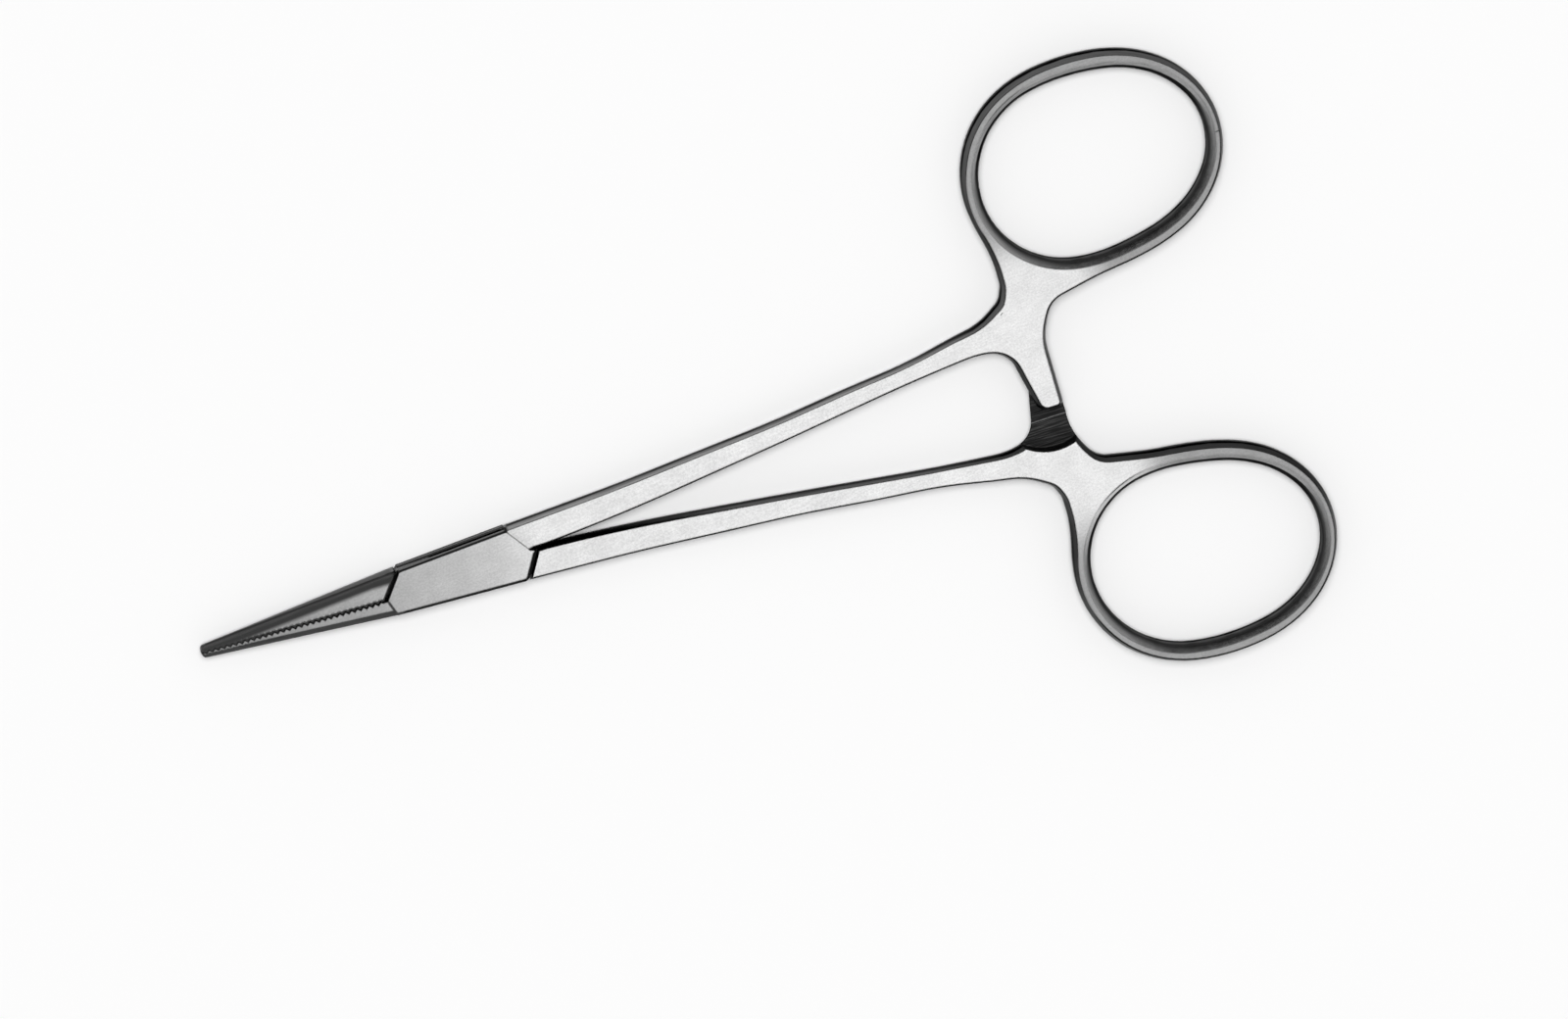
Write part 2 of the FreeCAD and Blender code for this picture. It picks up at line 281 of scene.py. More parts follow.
def surveyed(bench: Bench, side: int, broken_edge: float) -> Survey:
    """Find the place and the direction of each point of a surface.

    Args:
        bench: Node tree.
        side: 1 where the arm's ring lies towards +Y, -1 where it lies towards -Y.
        broken_edge: Radius of the broken edges, in millimetres.

    Returns:
        The survey.
    """
    coordinates = bench.node("ShaderNodeTexCoord")
    place = bench.scaled(coordinates.outputs["Object"], (1 / MM, 1 / MM, 1 / MM))
    axes = bench.node("ShaderNodeSeparateXYZ")
    bench.feed(axes.inputs[0], place)
    broken = bench.node("ShaderNodeBevel", samples=8)
    bench.feed(broken.inputs["Radius"], broken_edge * MM)
    own = bench.node(
        "ShaderNodeVectorTransform", vector_type="NORMAL", convert_from="WORLD", convert_to="OBJECT"
    )
    bench.feed(own.inputs[0], broken.outputs[0])
    facing = bench.node("ShaderNodeSeparateXYZ")
    bench.feed(facing.inputs[0], own.outputs[0])
    height = bench.sum(Sum.SUBTRACT, axes.outputs["Z"], MID_PLANE)
    return Survey(
        place=place,
        x=axes.outputs["X"],
        outward=bench.sum(Sum.MULTIPLY, axes.outputs["Y"], float(side)),
        y=axes.outputs["Y"],
        height=height,
        depth=bench.sum(Sum.ABSOLUTE, height),
        normal=broken.outputs[0],
        level=bench.sum(Sum.ABSOLUTE, facing.outputs["Z"]),
        rising=facing.outputs["Z"],
        across=facing.outputs["Y"],
        leaning=bench.sum(Sum.MULTIPLY, facing.outputs["Y"], float(side)),
    )


@dataclass(frozen=True)
class SatinGrain:
    """Speckle, clouds and long grinding lines of satin steel.

    Attributes:
        speckle: Least and most of the fine speckle, as a factor.
        cloud: Least and most of the broad clouds.
        line: Least and most of the grinding lines.
        lean_deg: Direction in which the steel was ground, from +X.
    """

    speckle: tuple[float, float] = (0.85, 1.09)
    cloud: tuple[float, float] = (0.93, 1.04)
    line: tuple[float, float] = (0.93, 1.06)
    lean_deg: float = 8.0

    def factor(self, bench: Bench, place: Socket) -> Socket:
        """Build the pattern, as a factor near 1.

        Args:
            bench: Node tree.
            place: Place in millimetres.

        Returns:
            Socket of the factor.
        """
        speckle = bench.step(bench.noise(place, 4.5, 3.0, 0.8), 0.3, 0.7, *self.speckle)
        cloud = bench.step(bench.noise(place, 0.35, 3.0, 0.6), 0.25, 0.75, *self.cloud)
        along = bench.scaled(place, (0.5, 9.0, 1.0), -self.lean_deg)
        line = bench.step(bench.noise(along, 1.0, 3.0, 0.65), 0.25, 0.75, *self.line)
        return bench.sum(Sum.MULTIPLY, bench.sum(Sum.MULTIPLY, speckle, cloud), line)

    def relief(self, bench: Bench, place: Socket, normal: Socket | None = None) -> Socket:
        """Grinding lines and pits in the surface.

        Args:
            bench: Node tree.
            place: Place in millimetres.
            normal: Normal that they are cut into, or None for the surface's own.

        Returns:
            Socket of the normal.
        """
        lines = bench.noise(bench.scaled(place, (0.6, 14.0, 1.0), -self.lean_deg), 1.0, 3.0, 0.6)
        pits = bench.noise(place, 5.0, 3.0, 0.6)
        bump = bench.node("ShaderNodeBump")
        bench.feed(bump.inputs["Strength"], 0.12)
        bench.feed(bump.inputs["Distance"], 0.02 * MM)
        bench.feed(bump.inputs["Height"], bench.sum(Sum.ADD, lines, pits))
        if normal is not None:
            bench.feed(bump.inputs["Normal"], normal)
        return bump.outputs[0]


@dataclass(frozen=True)
class PaintedSideShading:
    """Painted shading of an arm's sides, reflections and shade: black along their edges, grey between
    them, dark round the ring.

    Attributes:
        jaw: Greys of the jaw's back, by how level it lies, as painted reflection and shade.
        shank: Greys of the shank's sides, by how far they face up, as painted reflection and shade.
        ring: Greys of the outside of the ring and of the branch to it, as painted reflection and shade.
        eye: Greys of the inside of the ring, as painted reflection and shade.
        inward_shade_share: Share of the grey that is left on handle sides that face the other arm, as
            painted shade.
        lock: Grey of the edges of the box lock, as painted shade.
        lock_wall: Grey of the lock's long walls, between their edges, as painted reflection.
        jaw_rim: Grey of the jaw's back along its middle, as painted reflection.
        bowl: Grey of the ring's inner bevel, from its foot to the flat, as painted shade and reflection.
    """

    jaw: Stops = ((0.0, 0.03), (0.3, 0.045), (0.6, 0.07), (0.84, 0.07), (0.93, 0.05))
    shank: Stops = (
        (0.0, 0.015), (0.06, 0.02), (0.18, 0.25), (0.33, 0.31), (0.42, 0.08), (0.55, 0.02), (0.95, 0.02),
    )
    ring: Stops = (
        (0.0, 0.012), (0.19, 0.015), (0.265, 0.11), (0.33, 0.11), (0.42, 0.04), (0.55, 0.02), (0.95, 0.02),
    )
    eye: Stops = ((0.0, 0.012), (0.19, 0.015), (0.27, 0.08), (0.33, 0.08), (0.4, 0.03))
    inward_shade_share: float = 0.42
    lock: float = 0.02
    lock_wall: float = 0.3
    jaw_rim: float = 0.17
    bowl: tuple[float, float] = (0.025, 0.27)

    def grey(self, bench: Bench, at: Survey, flat_grey: Socket) -> Socket:
        """Build the painted reflection and shade greys of the whole arm's sides.

        Args:
            bench: Node tree.
            at: Survey of the surface.
            flat_grey: Grey of the flats beside them.

        Returns:
            Socket of the grey.
        """
        # Handle sides that face the other arm are darker, as painted shade between the arms.
        inward = bench.step(at.leaning, 0.2, -0.4, 1.0, self.inward_shade_share)
        shank = bench.ramp(at.rising, self.shank)
        handle = bench.lay(bench.step(at.x, *RING_ROOT), shank, bench.ramp(at.level, self.ring))
        handle = bench.sum(Sum.MULTIPLY, handle, inward)
        lock = self.lock_grey(bench, at)
        grey = bench.lay(bench.step(at.x, *LOCK_FRONT), lock, self.jaw_grey(bench, at))
        grey = bench.lay(bench.step(at.x, *LOCK_REAR), grey, handle)
        grey = bench.lay(self.in_eye(bench, at), grey, self.eye_grey(bench, at, flat_grey))
        grey = bench.lay(self.seam(bench, at), grey, flat_grey)
        streak = bench.noise(bench.scaled(at.place, (0.4, 0.4, 6.0)), 1.0, 2.0, 0.6)
        return bench.sum(Sum.MULTIPLY, grey, bench.step(streak, 0.2, 0.8, 0.82, 1.18))

    def seam(self, bench: Bench, at: Survey) -> Socket:
        """Mask of the low step from the box to its own shank, which gets the flats' grey instead of the
        painted side shading.

        Args:
            bench: Node tree.
            at: Survey of the surface.

        Returns:
            Socket of the mask.
        """
        start = Vector(STEP_LINE[0])
        run = (Vector(STEP_LINE[1]) - start).normalized()
        turn = bench.sum(Sum.MULTIPLY, bench.sum(Sum.SUBTRACT, at.x, start.x), run.y)
        rise = bench.sum(Sum.MULTIPLY, bench.sum(Sum.SUBTRACT, at.outward, start.y), run.x)
        off = bench.sum(Sum.ABSOLUTE, bench.sum(Sum.SUBTRACT, turn, rise))
        near = bench.step(off, 0.5, 0.35, 0.0, 0.85)
        along = bench.sum(Sum.MULTIPLY, bench.step(at.outward, 0.2, 0.5), bench.step(at.outward, 3.0, 2.7))
        on_top = bench.sum(Sum.MULTIPLY, along, bench.step(at.level, 0.55, 0.7))
        return bench.sum(Sum.MULTIPLY, near, on_top)

    def long_wall(self, bench: Bench, at: Survey) -> Socket:
        """Mask of upright walls that run along the instrument.

        Args:
            bench: Node tree.
            at: Survey of the surface.

        Returns:
            Socket of the mask.
        """
        upright = bench.step(at.level, 0.16, 0.08)
        sideways = bench.step(bench.sum(Sum.ABSOLUTE, at.across), 0.88, 0.95)
        return bench.sum(Sum.MULTIPLY, upright, sideways)

    def lock_grey(self, bench: Bench, at: Survey) -> Socket:
        """Grey of the box lock's sides, painted shade and reflection: black edges and gaps, grey walls.

        Args:
            bench: Node tree.
            at: Survey of the surface.

        Returns:
            Socket of the grey.
        """
        inner = bench.step(at.depth, 1.55, 1.05)
        wall = bench.sum(Sum.MULTIPLY, self.long_wall(bench, at), inner)
        return bench.step(wall, 0.0, 1.0, self.lock, self.lock_wall)

    def jaw_grey(self, bench: Bench, at: Survey) -> Socket:
        """Painted reflection grey of a jaw's back, with its lighter rim.

        Args:
            bench: Node tree.
            at: Survey of the surface.

        Returns:
            Socket of the grey.
        """
        back = bench.ramp(at.level, self.jaw)
        return bench.lay(self.long_wall(bench, at), back, same_grey(self.jaw_rim))

    def in_eye(self, bench: Bench, at: Survey) -> Socket:
        """Mask of the ring's inside, out to the edge of its flat.

        Args:
            bench: Node tree.
            at: Survey of the surface.

        Returns:
            Socket of the mask.
        """
        joined = bench.node("ShaderNodeCombineXYZ")
        bench.feed(joined.inputs["X"], bench.sum(Sum.SUBTRACT, at.x, RING_CENTRE[0]))
        bench.feed(joined.inputs["Y"], bench.sum(Sum.SUBTRACT, at.outward, RING_CENTRE[1]))
        reach = [1 / (half + EYE_RIM) for half in EYE_HALVES]
        own = bench.scaled(joined.outputs[0], (reach[0], reach[1], 0.0), -EYE_TURN_DEG)
        away = bench.node("ShaderNodeVectorMath", operation="LENGTH")
        bench.feed(away.inputs[0], own)
        return bench.step(away.outputs["Value"], 1.01, 0.99)

    def eye_grey(self, bench: Bench, at: Survey, flat_grey: Socket) -> Socket:
        """Painted shading of the ring's inside: a dark bowl on one side, as light as the flat on the
        other.

        Args:
            bench: Node tree.
            at: Survey of the surface.
            flat_grey: Grey of the flat beside it.

        Returns:
            Socket of the grey.
        """
        on_bevel = bench.step(at.level, 0.38, 0.5)
        bowl = bench.step(at.depth, 0.9, 1.95, *self.bowl)
        dark = bench.lay(on_bevel, bench.ramp(at.level, self.eye), bowl)
        lit = bench.lay(bench.step(at.depth, 1.32, 1.44), same_grey(self.lock), flat_grey)
        return bench.lay(bench.step(at.across, -0.05, -0.45), dark, lit)


@dataclass(frozen=True)
class PaintedJawShade:
    """Painted shade on the back of a jaw, which runs on over its cheek.

    Attributes:
        lock_edge: Where it ends beside the lock, from the instrument's middle, in millimetres.
        tip_edge: Where it ends at the tip.
        fade: Width of its soft edge.
        tone: Its grey.
    """

    lock_edge: float = 0.95
    tip_edge: float = -0.75
    fade: float = 0.6
    tone: float = 0.045

    def mask(self, bench: Bench, at: Survey) -> Socket:
        """Build its mask.

        Args:
            bench: Node tree.
            at: Survey of the surface.

        Returns:
            Socket of the mask.
        """
        edge = bench.step(at.x, -10.0, -30.0, self.lock_edge, self.tip_edge)
        edge.node.interpolation_type = "LINEAR"
        over = bench.step(bench.sum(Sum.SUBTRACT, at.y, edge), 0.0, self.fade)
        return bench.sum(Sum.MULTIPLY, over, bench.step(at.x, -5.0, -5.5))


@dataclass(frozen=True)
class ForgedSteel:
    """Satin stainless steel of a forged arm: ground flats, sides with painted shading, a milled ratchet
    painted dark as shade.

    Attributes:
        slot: Material slot of the record.
        side: 1 where the arm's ring lies towards +Y, -1 where it lies towards -Y.
        steel_and_shade_tones: Grey of the flats from the tips to the rings, by the distance along X in
            millimetres: the steel's own grey, with painted shade along the arm.
        ring_shade_share: Share of the tone that is left on the ring's flat, away from the shank, as
            painted shade.
        ratchet_shade_tone: Grey of the milled floor of the ratchet, as painted shade in its recess.
        flat_roughness: Roughness of the ground flats.
        side_roughness: Roughness of the sides.
        broken_edge: Radius of the broken edges, in millimetres.
        edge_shade_lean: How much narrower the painted dark line is on edges towards +Y than on those
            towards -Y.
        shade_reach: How much further it reaches over the flat on edges towards -Y.
        nicks: Small marks on the flats.
        grain: Pattern of the flats.
        sides: Greys of the sides, as painted reflection and shade.
        painted_jaw_shade: Painted shade on the back of the arm's jaw where it runs over the cheek, if it
            has one.
        recess_centre: Centre of the milled recess of the ratchet.
        recess_radius: Radius of that recess.
        first_crest: Where the first crest of the ratchet stands, from the middle, with a painted highlight
            along it.
    """

    slot: str
    side: int
    steel_and_shade_tones: Stops
    ring_shade_share: float = 0.45
    ratchet_shade_tone: float = 0.035
    flat_roughness: float = 0.34
    side_roughness: float = 0.2
    broken_edge: float = 0.34
    edge_shade_lean: float = 0.25
    shade_reach: float = 0.07
    nicks: tuple[Nick, ...] = ()
    grain: SatinGrain = SatinGrain()
    sides: PaintedSideShading = PaintedSideShading()
    painted_jaw_shade: PaintedJawShade | None = None
    recess_centre: tuple[float, float] = (67.5, 1.0)
    recess_radius: float = 5.9
    first_crest: float = 3.52

    def make(self) -> bpy.types.Material:
        """Build the material.

        Returns:
            The finished material.
        """
        material, bench = blank_finish(f"{self.slot}_finish")
        at = surveyed(bench, self.side, self.broken_edge)
        seat = self.pin_seat(bench, at)
        # Painted dark lines along the edges: narrower on edges towards +Y, reaching further over the flat
        # towards -Y.
        edge_shade_level = bench.sum(Sum.ADD, at.level, bench.sum(Sum.MULTIPLY, at.across, self.edge_shade_lean))
        edge_shade_level = bench.sum(Sum.SUBTRACT, edge_shade_level, bench.step(at.across, -0.01, -0.08, 0.0, self.shade_reach))
        ground = bench.sum(Sum.MAXIMUM, bench.step(edge_shade_level, 0.965, 0.99), seat)
        ground = bench.sum(Sum.MULTIPLY, ground, bench.step(at.depth, 0.74, 0.8))
        milled = self.milled(bench, at)
        grey = bench.sum(Sum.MULTIPLY, self.flat_tone_and_shade(bench, at), self.grain.factor(bench, at.place))
        # Painted shade over the back of the jaw.
        if self.painted_jaw_shade:
            grey = bench.lay(self.painted_jaw_shade.mask(bench, at), grey, same_grey(self.painted_jaw_shade.tone))
        grey = bench.lay(ground, self.sides.grey(bench, at, grey), grey)
        # The ratchet's floor is painted dark, as shade in its recess.
        grey = bench.lay(milled, grey, self.ratchet_shade_grey(bench, at))
        for nick in self.nicks:
            grey = bench.lay(self.nicked(bench, at, nick), grey, same_grey(0.05))
        roughness = self.roughness(bench, at, ground, milled)
        true_normal = bench.node("ShaderNodeNewGeometry").outputs["Normal"]
        normal = self.grain.relief(bench, at.place, bench.between(seat, at.normal, true_normal))
        finish_steel(bench, grey, roughness, normal)
        return material

    def pin_seat(self, bench: Bench, at: Survey) -> Socket:
        """Mask of the rim round the hinge pin, which is ground flush and has no broken edge.

        Args:
            bench: Node tree.
            at: Survey of the surface.

        Returns:
            Socket of the mask.
        """
        away = bench.node("ShaderNodeVectorMath", operation="LENGTH")
        bench.feed(away.inputs[0], bench.scaled(at.place, (1.0, 1.0, 0.0)))
        near = bench.step(away.outputs["Value"], PIN_RADIUS + 0.4, PIN_RADIUS + 0.3)
        return bench.sum(Sum.MULTIPLY, near, bench.step(at.depth, 1.9, 1.98))

    def flat_tone_and_shade(self, bench: Bench, at: Survey) -> Socket:
        """Grey of the flats, with painted shade along the arm and again towards the far side of the ring.

        Args:
            bench: Node tree.
            at: Survey of the surface.

        Returns:
            Socket of the grey.
        """
        first, last = self.steel_and_shade_tones[0][0], self.steel_and_shade_tones[-1][0]
        along = bench.step(at.x, first, last)
        along.node.interpolation_type = "LINEAR"
        grey = bench.ramp(along, tuple(((x - first) / (last - first), tone) for x, tone in self.steel_and_shade_tones))
        # The ring's flat is painted darker away from the shank, as shade.
        outer = bench.step(at.outward, 12.0, 21.0)
        rear = bench.step(at.x, 73.0, 81.0)
        on_ring = bench.step(at.x, 62.0, 66.0)
        share = bench.sum(Sum.MULTIPLY, bench.sum(Sum.MAXIMUM, outer, rear), on_ring)
        return bench.sum(Sum.MULTIPLY, grey, bench.step(share, 0.0, 1.0, 1.0, self.ring_shade_share))

    def milled(self, bench: Bench, at: Survey) -> Socket:
        """Where the ratchet was milled: inside its round recess, in the half that was cut away.

        Args:
            bench: Node tree.
            at: Survey of the surface.

        Returns:
            Socket of a mask.
        """
        flat = bench.node("ShaderNodeVectorMath", operation="MULTIPLY")
        bench.feed(flat.inputs[0], at.place)
        bench.feed(flat.inputs[1], (1.0, 1.0, 0.0))
        away = bench.node("ShaderNodeVectorMath", operation="DISTANCE")
        bench.feed(away.inputs[0], flat.outputs[0])
        bench.feed(away.inputs[1], (self.recess_centre[0], self.side * self.recess_centre[1], 0.0))
        inside = bench.step(away.outputs["Value"], self.recess_radius + 0.01, self.recess_radius - 0.04)
        sunk = bench.step(at.depth, 1.9, 1.8)
        inward = bench.step(at.outward, 6.95, 6.9)
        own_half = bench.step(bench.sum(Sum.MULTIPLY, at.height, -float(self.side)), *RATCHET_ROOT)
        where = bench.sum(Sum.MULTIPLY, bench.sum(Sum.MULTIPLY, inside, sunk), inward)
        return bench.sum(Sum.MULTIPLY, where, own_half)

    def ratchet_shade_grey(self, bench: Bench, at: Survey) -> Socket:
        """Painted shade of the milled floor, with fine lines and a painted highlight on the first crest.

        Args:
            bench: Node tree.
            at: Survey of the surface.

        Returns:
            Socket of the grey.
        """
        lines = bench.noise(bench.scaled(at.place, (0.2, 7.0, 7.0)), 1.0, 3.0, 0.75)
        grey = bench.step(lines, 0.45, 0.75, self.ratchet_shade_tone * 0.6, self.ratchet_shade_tone * 3.5)
        # A painted highlight along the first crest.
        off = bench.sum(Sum.ABSOLUTE, bench.sum(Sum.SUBTRACT, at.outward, self.first_crest))
        return bench.lay(bench.step(off, 0.1, 0.03), grey, same_grey(0.45))

    def roughness(self, bench: Bench, at: Survey, ground: Socket, milled: Socket) -> Socket:
        """Roughness from the sides to the ground flats and the milled ratchet.

        Args:
            bench: Node tree.
            at: Survey of the surface.
            ground: Mask of the flats.
            milled: Mask of the ratchet's floor.

        Returns:
            Socket of the roughness.
        """
        patchy = bench.noise(at.place, 1.6, 3.0, 0.6)
        satin = bench.step(patchy, 0.2, 0.8, self.flat_roughness - 0.05, self.flat_roughness + 0.06)
        bright = bench.step(patchy, 0.2, 0.8, self.side_roughness - 0.03, self.side_roughness + 0.04)
        base = bench.lay(ground, bright, satin)
        return bench.lay(milled, base, same_grey(0.5))

    def nicked(self, bench: Bench, at: Survey, nick: Nick) -> Socket:
        """Where one nick lies.

        Args:
            bench: Node tree.
            at: Survey of the surface.
            nick: The mark.

        Returns:
            Socket of a mask.
        """
        moved = bench.node("ShaderNodeVectorMath", operation="SUBTRACT")
        bench.feed(moved.inputs[0], at.place)
        bench.feed(moved.inputs[1], (nick.x, nick.y, 0.0))
        parts = bench.node("ShaderNodeSeparateXYZ")
        bench.feed(parts.inputs[0], bench.scaled(moved.outputs[0], (1.0, 1.0, 1.0), -nick.turn_deg))
        long = bench.step(bench.sum(Sum.ABSOLUTE, parts.outputs["X"]), nick.length / 2, nick.length / 4)
        thin = bench.step(bench.sum(Sum.ABSOLUTE, parts.outputs["Y"]), nick.width / 2, nick.width / 5)
        return bench.sum(Sum.MULTIPLY, long, thin)


@dataclass(frozen=True)
class PinSteel:
    """Hinge pin ground flush with the cheeks: the same steel and the same grain.

    Attributes:
        slot: Material slot of the record.
        tone: Grey of the pin, the box flats' grey round it, which carries their painted shade.
        roughness: Least and most roughness of its ground ends.
        grain: Pattern of the ends.
    """

    slot: str = "pin_steel"
    tone: float = 0.555
    roughness: tuple[float, float] = (0.3, 0.39)
    grain: SatinGrain = SatinGrain()

    def make(self) -> bpy.types.Material:
        """Build the material.

        Returns:
            The finished material.
        """
        material, bench = blank_finish(f"{self.slot}_finish")
        coordinates = bench.node("ShaderNodeTexCoord")
        place = bench.scaled(coordinates.outputs["Object"], (1 / MM, 1 / MM, 1 / MM))
        grey = bench.sum(Sum.MULTIPLY, self.grain.factor(bench, place), self.tone)
        roughness = bench.step(bench.noise(place, 1.6, 3.0, 0.6), 0.2, 0.8, *self.roughness)
        finish_steel(bench, grey, roughness, self.grain.relief(bench, place))
        return material


def same_grey(grey: float) -> tuple[float, float, float, float]:
    """Write a grey as a colour."""
    return (grey, grey, grey, 1.0)


def blank_finish(name: str) -> tuple[bpy.types.Material, Bench]:
    """Start a material with an empty node tree.

    Args:
        name: Name of the material.

    Returns:
        The material and its bench.
    """
    material = bpy.data.materials.new(name)
    material.use_nodes = True
    material.node_tree.nodes.clear()
    return material, Bench(material.node_tree)


def finish_steel(bench: Bench, grey: Socket, roughness: Socket, normal: Socket) -> None:
    """Put a steel's grey, roughness and relief on a metallic shader.

    Args:
        bench: Node tree.
        grey: Grey of the steel.
        roughness: Its roughness.
        normal: Its normal.
    """
    shader = bench.node("ShaderNodeBsdfPrincipled")
    bench.feed(shader.inputs["Base Color"], grey)
    bench.feed(shader.inputs["Metallic"], 1.0)
    bench.feed(shader.inputs["Specular Tint"], same_grey(GRAZING_GLEAM))
    bench.feed(shader.inputs["Roughness"], roughness)
    bench.feed(shader.inputs["Normal"], normal)
    output = bench.node("ShaderNodeOutputMaterial")
    bench.feed(output.inputs["Surface"], shader.outputs[0])


@dataclass
class ForcepsPiece:
    """A forging or pin of the instrument, whose shape is the frame's own solid.

    Attributes:
        node: Name of the solid.
        finish: Finish that it gets.
    """

    node: str
    finish: ForgedSteel | PinSteel

    def dress(self) -> bpy.types.Object:
        """Put the finish on the solid.

        Returns:
            The dressed solid.
        """
        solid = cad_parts[self.node]
        material = self.finish.make()
        for slot in solid.material_slots:
            slot.material = material
        log.info("%s dressed with %s", self.node, material.name)
        return solid


@dataclass
class BoxArm(ForcepsPiece):
    """Arm with the box, the lower jaw and the upper ring."""

    node: str = "box_arm"
    finish: ForgedSteel = ForgedSteel(
        slot="box_arm_steel",
        side=1,
        # The steel's own grey, with painted shade darkening towards the jaw tips.
        steel_and_shade_tones=(
            (-30.0, 0.24), (-20.0, 0.33), (-9.0, 0.42), (-8.3, 0.46), (0.0, 0.56), (5.0, 0.64),
            (9.0, 0.82), (60.0, 0.87), (96.0, 0.8),
        ),
        nicks=(
            Nick(94.5, 22.5, 1.2, 0.18, 4.0),
            Nick(94.6, 20.3, 0.6, 0.16, -8.0),
            Nick(65.6, 9.9, 0.5, 0.12, 35.0),
        ),
    )


@dataclass
class TenonArm(ForcepsPiece):
    """Arm with the tenon, the upper jaw and the lower ring."""

    node: str = "tenon_arm"
    finish: ForgedSteel = ForgedSteel(
        slot="tenon_arm_steel",
        side=-1,
        # The steel's own grey, with painted shade darkening towards the jaw tips.
        steel_and_shade_tones=((-30.0, 0.2), (-20.0, 0.33), (-8.0, 0.46), (7.0, 0.82), (60.0, 0.87), (96.0, 0.8)),
        painted_jaw_shade=PaintedJawShade(),
    )


@dataclass
class LockPin(ForcepsPiece):
    """Pin on which the two arms turn."""

    node: str = "lock_pin"
    finish: PinSteel = PinSteel()


@dataclass
class CurvedCard:
    """Dark card of the studio, seen only in the steel's reflections.

    Attributes:
        name: Name of the card.
        radius: Its distance from the instrument, in metres.
        low_deg: Elevation of its lower edge.
        high_deg: Elevation of its upper edge.
        middle_deg: Azimuth of its middle, from +X towards +Y.
        spread_deg: How far it reaches round on either side.
        grey: How bright it is.
        middle_x: Place along X that it curves round, in metres.
        steps: Number of its flat strips.
    """

    name: str
    radius: float
    low_deg: float
    high_deg: float
    middle_deg: float
    spread_deg: float
    grey: float
    middle_x: float = 0.03
    steps: int = 48

    def build(self) -> bpy.types.Object:
        """Make the card's mesh.

        Returns:
            The card.
        """
        corners = []
        faces = []
        for k in range(self.steps + 1):
            turn = math.radians(self.middle_deg + self.spread_deg * (2 * k / self.steps - 1))
            for lift_deg in (self.low_deg, self.high_deg):
                lift = math.radians(lift_deg)
                out = self.radius * math.cos(lift)
                high = self.radius * math.sin(lift)
                corners.append((out * math.cos(turn) + self.middle_x, out * math.sin(turn), high))
            if k:
                faces.append((2 * k - 2, 2 * k, 2 * k + 1, 2 * k - 1))
        mesh = bpy.data.meshes.new(self.name)
        mesh.from_pydata(corners, [], faces)
        card = bpy.data.objects.new(self.name, mesh)
        bpy.context.scene.collection.objects.link(card)
        show_only_to(card, {Seen.GLOSSY})
        mesh.materials.append(glowing(f"{self.name}_cloth", self.grey))
        return card


def show_only_to(thing: bpy.types.Object, kinds: set[Seen]) -> None:
    """Show an object of the studio to some kinds of ray only.

    Args:
        thing: Object to set.
        kinds: Kinds of ray that see it.
    """
    for kind in Seen:
        setattr(thing, kind.value, kind in kinds)


def glowing(name: str, grey: float) -> bpy.types.Material:
    """Make a plain card's material, which is as bright as it is written.

    Args:
        name: Name of the material.
        grey: Its brightness.

    Returns:
        The material.
    """
    material = bpy.data.materials.new(name)
    material.use_nodes = True
    material.node_tree.nodes.clear()
    bench = Bench(material.node_tree)
    glow = bench.node("ShaderNodeEmission")
    bench.feed(glow.inputs["Color"], (grey, grey, grey, 1.0))
    output = bench.node("ShaderNodeOutputMaterial")
    bench.feed(output.inputs["Surface"], glow.outputs[0])
    return material


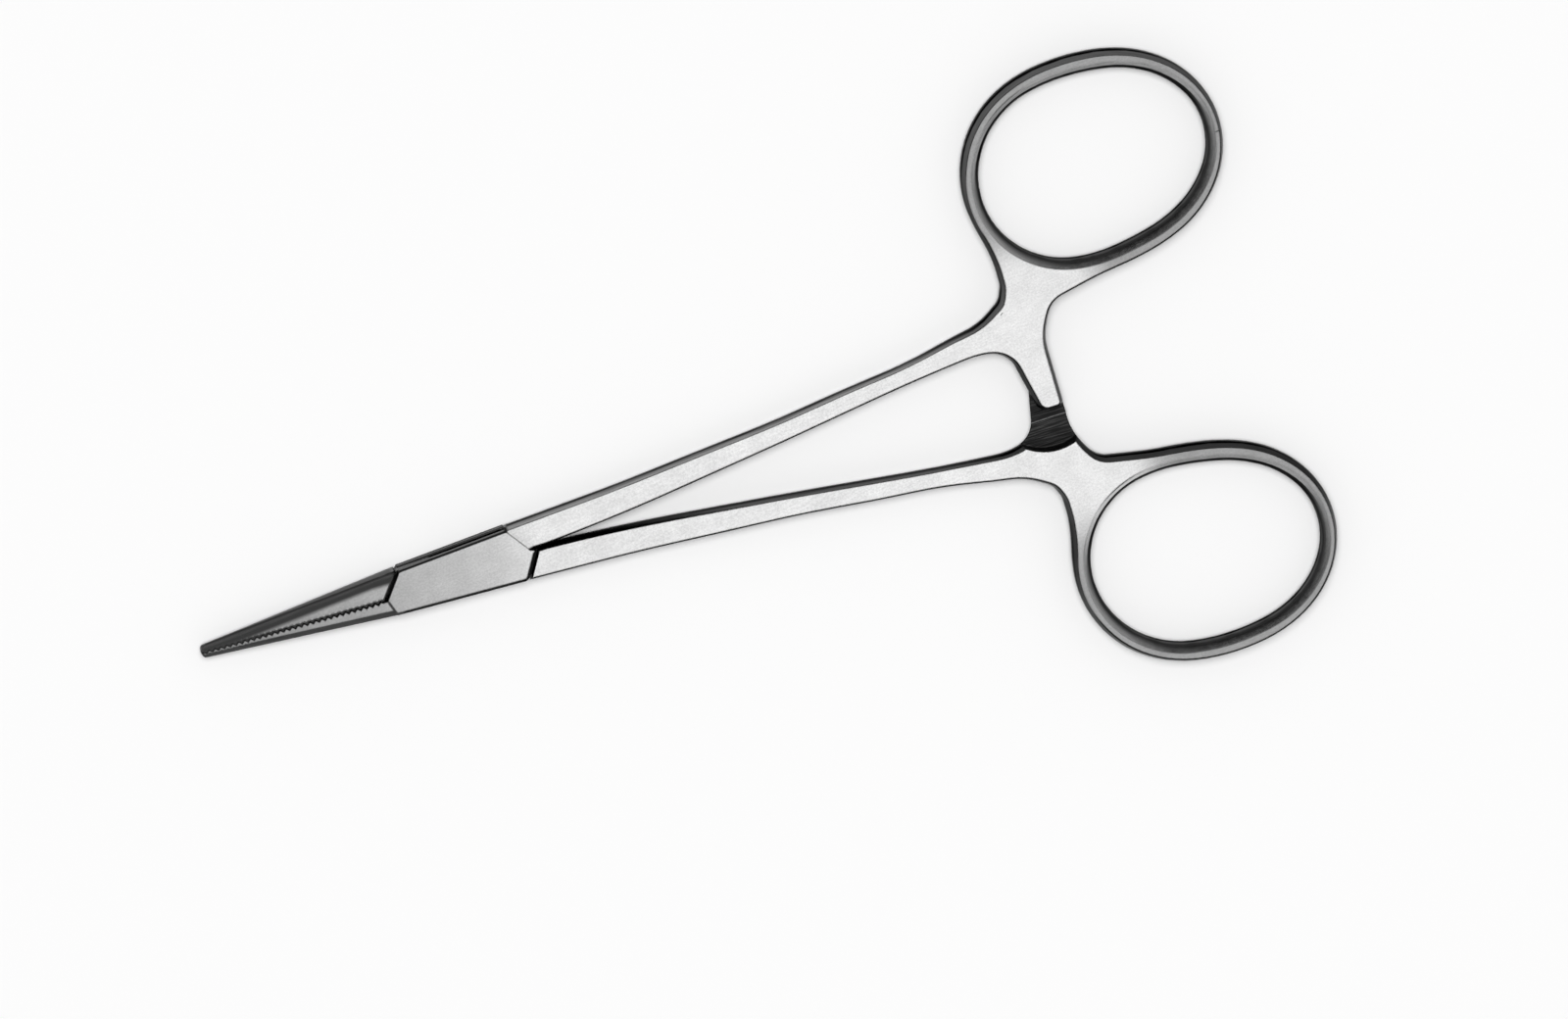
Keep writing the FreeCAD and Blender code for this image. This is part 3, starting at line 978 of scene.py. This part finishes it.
@dataclass
class Studio:
    """White table, even sky and one soft lamp.

    Attributes:
        table_half: Half the table's side, in metres.
        table_white: How white the table is.
        sky_level: Light of the sky on the table.
        lamp_level: Irradiance of the lamp.
        lamp_angle_deg: How wide the lamp looks, which softens the shadow.
        lamp_from: Direction in which the lamp stands.
    """

    table_half: float = 3.0
    table_white: float = 0.98
    sky_level: float = 0.3
    lamp_level: float = 2.27
    lamp_angle_deg: float = 25.0
    lamp_from: tuple[float, float, float] = (-0.06, 0.26, 0.96)
    cards: list[CurvedCard] = field(default_factory=list)

    def build(self) -> None:
        """Set the whole studio up."""
        self.build_table()
        self.build_sky()
        self.build_lamp()
        for card in self.cards:
            card.build()
            log.info("card %s set up", card.name)

    def build_table(self) -> bpy.types.Object:
        """Lay the white table under the instrument.

        Returns:
            The table.
        """
        half = self.table_half
        corners = [(-half, -half, 0.0), (half, -half, 0.0), (half, half, 0.0), (-half, half, 0.0)]
        mesh = bpy.data.meshes.new("table")
        mesh.from_pydata(corners, [], [(0, 1, 2, 3)])
        table = bpy.data.objects.new("table", mesh)
        bpy.context.scene.collection.objects.link(table)
        table.location.z = -0.01 * MM
        material = bpy.data.materials.new("table_paper")
        material.use_nodes = True
        material.node_tree.nodes.clear()
        bench = Bench(material.node_tree)
        paper = bench.node("ShaderNodeBsdfDiffuse")
        white = self.table_white
        bench.feed(paper.inputs["Color"], (white, white, white, 1.0))
        output = bench.node("ShaderNodeOutputMaterial")
        bench.feed(output.inputs["Surface"], paper.outputs[0])
        mesh.materials.append(material)
        return table

    def build_sky(self) -> None:
        """Light from all round, which the camera and the steel see as white."""
        world = bpy.data.worlds.new("sky")
        bpy.context.scene.world = world
        world.use_nodes = True
        world.node_tree.nodes.clear()
        bench = Bench(world.node_tree)
        path = bench.node("ShaderNodeLightPath")
        seen = bench.sum(Sum.MAXIMUM, path.outputs["Is Camera Ray"], path.outputs["Is Glossy Ray"])
        seen = bench.sum(Sum.MAXIMUM, seen, path.outputs["Is Transmission Ray"])
        light = bench.node("ShaderNodeBackground")
        bench.feed(light.inputs["Color"], (1.0, 1.0, 1.0, 1.0))
        bench.feed(light.inputs["Strength"], self.sky_level)
        white = bench.node("ShaderNodeBackground")
        bench.feed(white.inputs["Color"], (1.0, 1.0, 1.0, 1.0))
        bench.feed(white.inputs["Strength"], 1.0)
        mixed = bench.node("ShaderNodeMixShader")
        bench.feed(mixed.inputs[0], seen)
        bench.feed(mixed.inputs[1], light.outputs[0])
        bench.feed(mixed.inputs[2], white.outputs[0])
        output = bench.node("ShaderNodeOutputWorld")
        bench.feed(output.inputs["Surface"], mixed.outputs[0])

    def build_lamp(self) -> bpy.types.Object:
        """Hang the soft lamp.

        Returns:
            The lamp.
        """
        light = bpy.data.lights.new("soft_lamp", "SUN")
        light.energy = self.lamp_level
        light.angle = math.radians(self.lamp_angle_deg)
        lamp = bpy.data.objects.new("soft_lamp", light)
        lamp.rotation_euler = Vector(self.lamp_from).to_track_quat("Z", "Y").to_euler()
        lamp.visible_glossy = False
        bpy.context.scene.collection.objects.link(lamp)
        return lamp


@dataclass
class TableCamera:
    """Camera over the table, leaning and rolled as the instrument was photographed.

    Attributes:
        lean_deg: Angle of the view from straight down.
        heading_deg: Which way it leans, from +Y towards -X.
        roll_deg: How far the instrument runs uphill in the picture.
        aim: Point in the middle of the picture, in metres.
        width: Width of the picture at that point, in metres.
        distance: Distance of the camera from that point, in metres.
        sensor: Width of the sensor, in millimetres.
    """

    lean_deg: float = 14.375
    heading_deg: float = 13.125
    roll_deg: float = 17.3625
    aim: tuple[float, float, float] = (0.03622, -0.0037, 0.00503)
    width: float = 0.17367
    distance: float = 2.5
    sensor: float = 36.0

    def build(self) -> bpy.types.Object:
        """Place the camera.

        Returns:
            The camera.
        """
        lean = math.radians(self.lean_deg)
        heading = math.radians(self.heading_deg)
        roll = math.radians(self.roll_deg)
        out = math.sin(lean)
        back = Vector((-math.sin(heading) * out, math.cos(heading) * out, math.cos(lean)))
        along = Vector((1.0, 0.0, 0.0))
        along = (along - back * along.dot(back)).normalized()
        above = back.cross(along)
        right = along * math.cos(roll) - above * math.sin(roll)
        up = along * math.sin(roll) + above * math.cos(roll)
        data = bpy.data.cameras.new("table_camera")
        data.sensor_width = self.sensor
        data.lens = self.sensor * self.distance / self.width
        data.clip_start = 0.01
        data.clip_end = 20.0
        camera = bpy.data.objects.new("table_camera", data)
        place = Vector(self.aim) + back * self.distance
        turn = Matrix((right, up, back)).transposed().to_4x4()
        camera.matrix_world = Matrix.Translation(place) @ turn
        bpy.context.scene.collection.objects.link(camera)
        bpy.context.scene.camera = camera
        return camera


def main() -> None:
    """Dress the instrument and set up the studio round it."""
    logging.basicConfig(level=logging.INFO, format="%(name)s: %(message)s")
    bpy.context.scene.view_settings.view_transform = "Standard"
    for piece in (BoxArm(), TenonArm(), LockPin()):
        piece.dress()
    Studio(cards=[
        CurvedCard("far_card", 0.8, 0.3, 38.0, 90.0, 80.0, 0.8),
        CurvedCard("near_card", 0.8, 0.3, 30.0, -90.0, 100.0, 0.9),
    ]).build()
    TableCamera().build()


if __name__ == "__main__":
    main()
